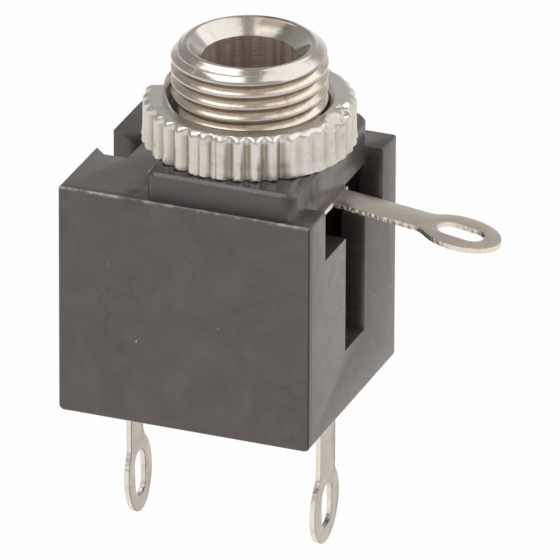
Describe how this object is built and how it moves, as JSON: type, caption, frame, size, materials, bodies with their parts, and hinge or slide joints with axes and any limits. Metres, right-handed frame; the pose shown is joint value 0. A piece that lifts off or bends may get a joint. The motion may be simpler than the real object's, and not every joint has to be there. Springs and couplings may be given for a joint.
{
  "type": "audio jack socket",
  "caption": "Switched mono jack socket in a moulded box, with a threaded bush, ring nut and solder lugs.",
  "frame": {"origin": "on the plug bore's axis, at the top of the boss, where a panel seats", "axes": "+Z along the bore, out of its mouth; +X towards the side lug; +Y towards the back"},
  "size_m": [0.0163, 0.0092, 0.0207],
  "materials": {
    "housing": "moulded black, fine satin",
    "bottom_cover": "moulded black, fine satin",
    "threaded_bush": "nickel plated, turned",
    "knurled_nut": "nickel plated, satin",
    "earth_contact": "tin plated, satin",
    "tip_contact": "tin plated, satin",
    "switch_contact": "tin plated, satin"
  },
  "bodies": {
    "socket": {"housing": "housing", "bottom_cover": "bottom_cover", "threaded_bush": "threaded_bush", "earth_contact": "earth_contact", "tip_contact": "tip_contact", "switch_contact": "switch_contact"},
    "nut": {"knurled_nut": "knurled_nut"}
  },
  "joints": [
    {"name": "nut_turn", "type": "hinge", "parent": "socket", "child": "nut", "pos_m": [0, 0, 0.0009], "axis": [0, 0, 1], "continuous": true}
  ]
}
